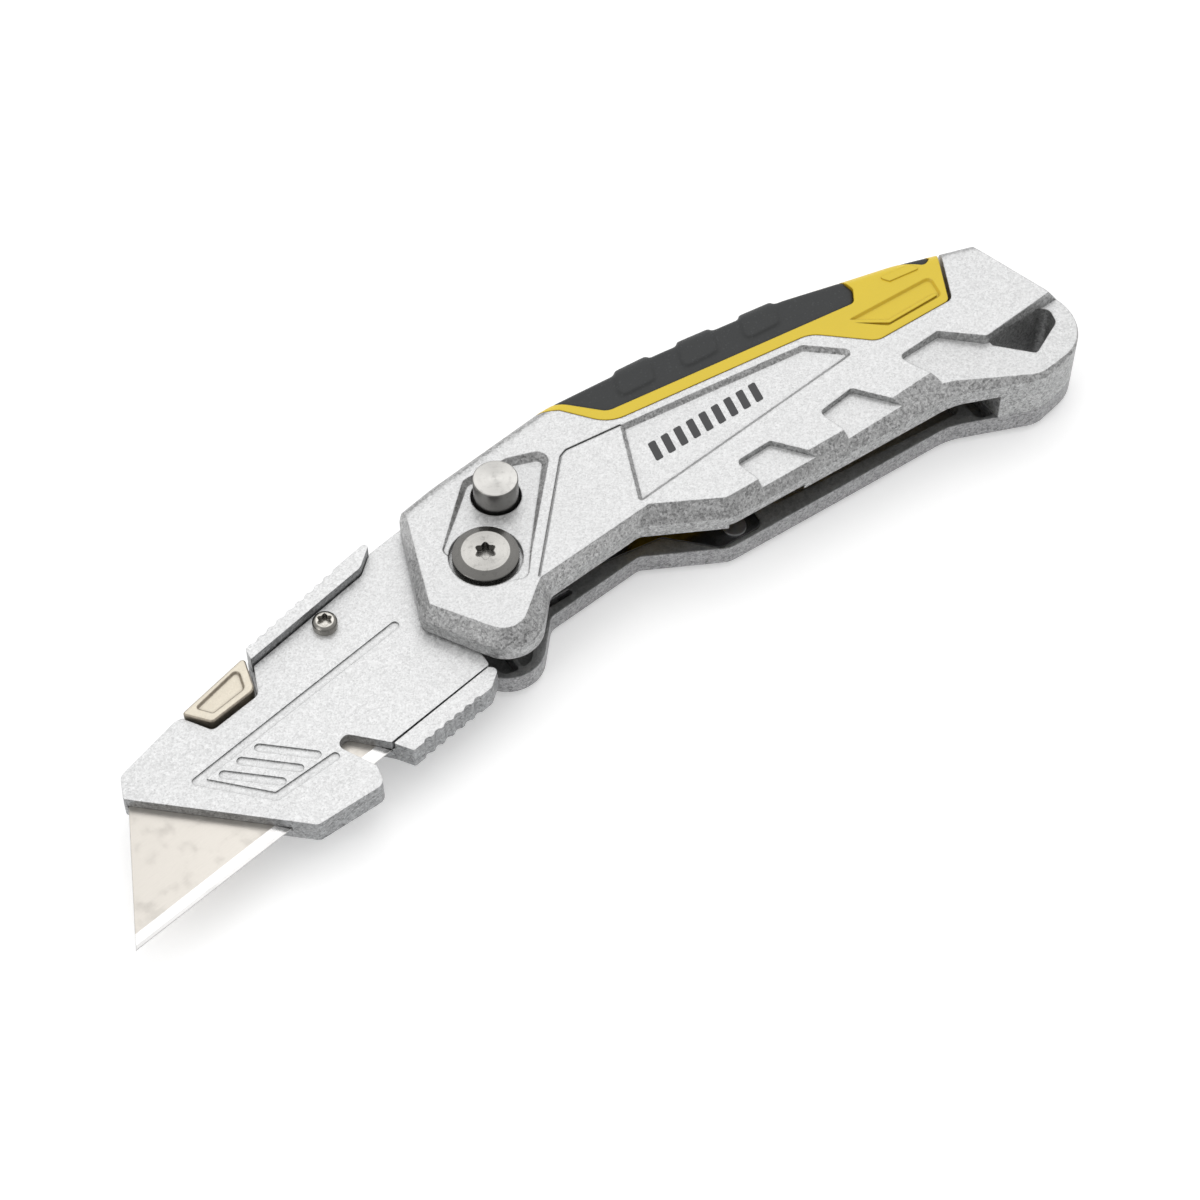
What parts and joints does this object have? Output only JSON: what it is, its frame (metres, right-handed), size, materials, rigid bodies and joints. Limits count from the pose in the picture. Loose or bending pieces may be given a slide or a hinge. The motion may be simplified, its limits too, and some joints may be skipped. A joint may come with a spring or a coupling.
{
  "type": "folding utility knife",
  "caption": "Folding utility knife, open: metal handle with a swing-out spare blade magazine, screw pivot, round lock button and a clamped trapezoid blade with a release button.",
  "frame": {"origin": "bottom centre of the open knife lying on its back shell", "axes": "+X along the knife to the butt, +Y to the spine (the magazine side), +Z out of the front face, parallel to the fold pivot"},
  "size_m": [0.1728, 0.046, 0.018],
  "materials": {
    "silver_paint": "satin metallic paint with fine sparkle, darker coarser sparkle on the bevels",
    "back_paint": "satin metallic paint",
    "holder_paint": "satin metallic paint with fine sparkle",
    "liner_steel": "plain rolled steel",
    "dark_steel": "blackened steel",
    "turned_steel": "bright turned steel",
    "button_steel": "turned top, brushed side",
    "nickel": "bright nickel plating",
    "bronze": "plain bronze",
    "spring_steel": "drawn spring wire",
    "blade_steel": "fine lengthwise grain, bright ground edge",
    "gold_paint": "satin cream gold metallic paint",
    "yellow_plastic": "satin, fine moulded texture",
    "black_rubber": "matt, soft"
  },
  "bodies": {
    "handle": {"front_shell": "silver_paint", "back_shell": "back_paint", "liner_plate": "liner_steel", "liner_rivet": "liner_steel", "shell_screws": "dark_steel", "pivot_screw": "turned_steel", "pivot_nut": "turned_steel", "pivot_washers": "bronze", "lock_bushing": "dark_steel", "lock_spring": "spring_steel", "magazine_pin": "liner_steel"},
    "blade_holder": {"holder_back_plate": "holder_paint", "holder_front_plate": "holder_paint", "holder_screw": "nickel", "blade": "blade_steel", "release_spring": "spring_steel"},
    "lock": {"lock_button": "button_steel", "lock_pin": "liner_steel"},
    "release": {"release_button": "gold_paint"},
    "magazine": {"magazine_body": "yellow_plastic", "magazine_grip": "black_rubber", "spare_blades": "blade_steel", "blade_clip": "spring_steel"}
  },
  "joints": [
    {"name": "fold", "type": "hinge", "parent": "handle", "child": "blade_holder", "pos_m": [-0.01479, 0.00294, 0.00725], "axis": [0, 0, 1], "range_deg": [0, 167]},
    {"name": "lock_press", "type": "slide", "parent": "handle", "child": "lock", "axis": [0, 0, -1], "range_m": [0, 0.002], "stiffness_N_per_m": 800, "springref_m": -0.002, "deforming": ["lock_spring"]},
    {"name": "release_press", "type": "slide", "parent": "blade_holder", "child": "release", "axis": [0, 0, -1], "range_m": [0, 0.001], "stiffness_N_per_m": 500, "springref_m": -0.001, "deforming": ["release_spring"]},
    {"name": "magazine_swing", "type": "hinge", "parent": "handle", "child": "magazine", "pos_m": [0.00361, 0.01984, 0.00725], "axis": [0, 0, 1], "range_deg": [0, 30]}
  ]
}
